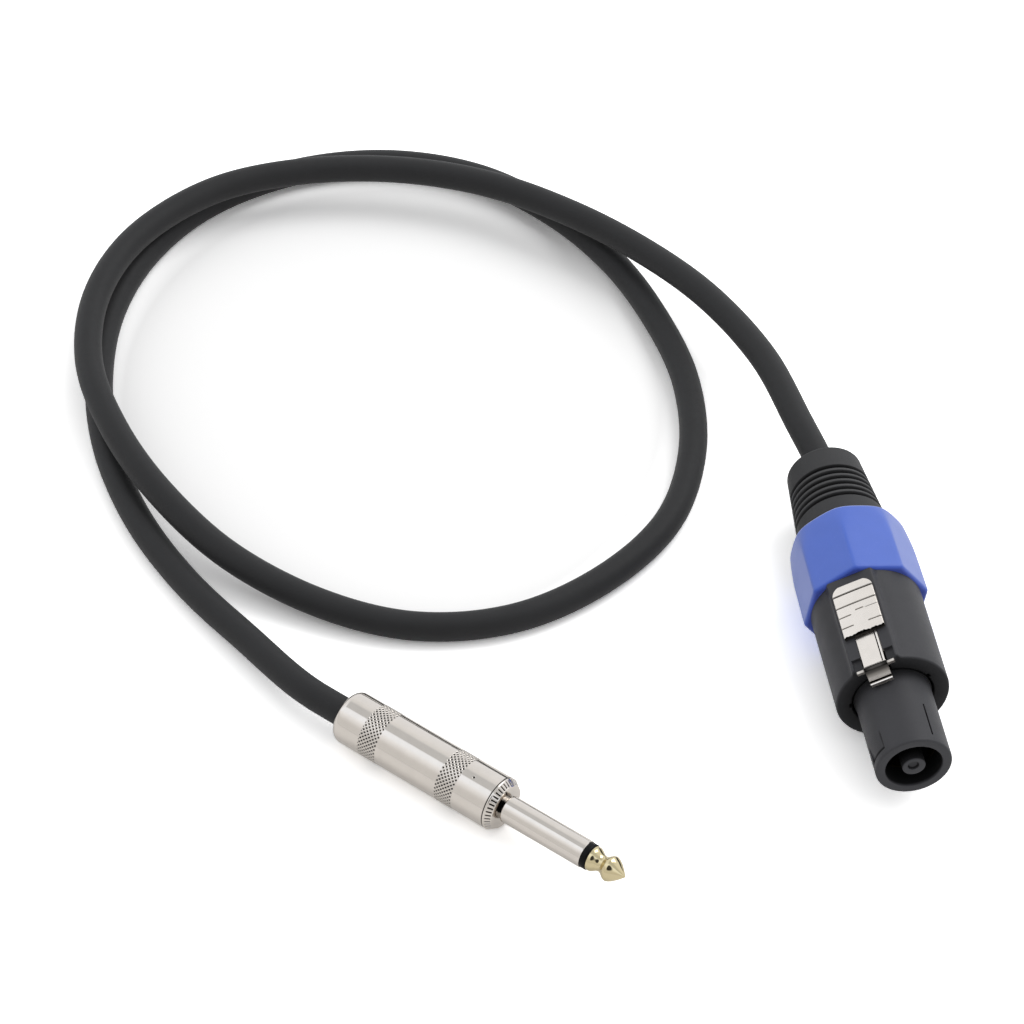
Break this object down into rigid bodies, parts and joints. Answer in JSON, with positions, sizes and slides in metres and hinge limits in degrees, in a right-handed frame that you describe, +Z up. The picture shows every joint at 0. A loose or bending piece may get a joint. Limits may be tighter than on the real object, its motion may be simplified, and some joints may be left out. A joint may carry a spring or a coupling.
{
  "type": "speaker cable",
  "caption": "Loudspeaker lead with a twist-lock connector, blue clamp nut and latch on one end and a 6.35 mm jack with knurled barrel on the other.",
  "frame": {"origin": "on the table, under the middle of the speaker connector's length and width", "axes": "+Z up, -Y along the speaker connector's axis towards its nose, +X to its right"},
  "size_m": [0.1845, 0.2493, 0.0288],
  "materials": {
    "black_plastic": "fine satin moulding",
    "blue_plastic": "satin moulding",
    "boot_rubber": "smooth matte rubber",
    "cable_jacket": "matte extruded jacket",
    "latch_metal": "stamped and plated",
    "bright_steel": "plated",
    "jack_nickel": "polished nickel plate",
    "tip_gold": "polished pale gold plate",
    "ring_plastic": "smooth",
    "brass": "plain stamped",
    "white_plastic": "natural moulding",
    "washer_fibre": "pressed fibre",
    "red_insulation": "extruded",
    "black_insulation": "extruded"
  },
  "bodies": {
    "lead": {"contact_insert": "black_plastic", "connector_housing": "black_plastic", "contact_plus_one": "brass", "contact_minus_one": "brass", "contact_plus_two": "brass", "contact_minus_two": "brass", "terminal_screws": "bright_steel", "latch_spring": "bright_steel", "cable_chuck": "white_plastic", "lead_plus_speaker": "red_insulation", "lead_minus_speaker": "black_insulation", "cable": "cable_jacket", "jack_collar": "jack_nickel", "jack_sleeve": "jack_nickel", "tip_insulator": "ring_plastic", "tip_contact": "tip_gold", "rear_washer": "washer_fibre", "tip_lug": "brass", "sleeve_terminal": "brass", "lead_tip": "red_insulation", "lead_sleeve": "black_insulation"},
    "latch": {"latch_slide": "latch_metal"},
    "boot": {"strain_relief_boot": "boot_rubber"},
    "nut": {"clamp_nut": "blue_plastic"},
    "liner": {"insulating_liner": "white_plastic"},
    "barrel": {"jack_barrel": "jack_nickel"}
  },
  "joints": [
    {"name": "latch_travel", "type": "slide", "parent": "lead", "child": "latch", "axis": [0, 1, 0], "range_m": [0, 0.0029], "stiffness_N_per_m": 300, "springref_m": -0.002, "deforming": ["latch_spring"]},
    {"name": "boot_travel", "type": "slide", "parent": "lead", "child": "boot", "axis": [0, 1, 0], "range_m": [0, 0.005]},
    {"name": "nut_turn", "type": "hinge", "parent": "boot", "child": "nut", "pos_m": [0, 0.0117, 0.01407], "axis": [0, 1, 0], "range_deg": [0, 720]},
    {"name": "liner_travel", "type": "slide", "parent": "lead", "child": "liner", "axis": [-0.6947, 0.7193, 0], "range_m": [0, 0.005]},
    {"name": "barrel_turn", "type": "hinge", "parent": "liner", "child": "barrel", "pos_m": [-0.08931, -0.0356, 0.00625], "axis": [-0.6947, 0.7193, 0], "range_deg": [0, 1800]}
  ],
  "couplings": [
    {"joint": "nut_turn", "follows": "boot_travel", "rad_per_m": 2513.3},
    {"joint": "barrel_turn", "follows": "liner_travel", "rad_per_m": 6283.2}
  ]
}
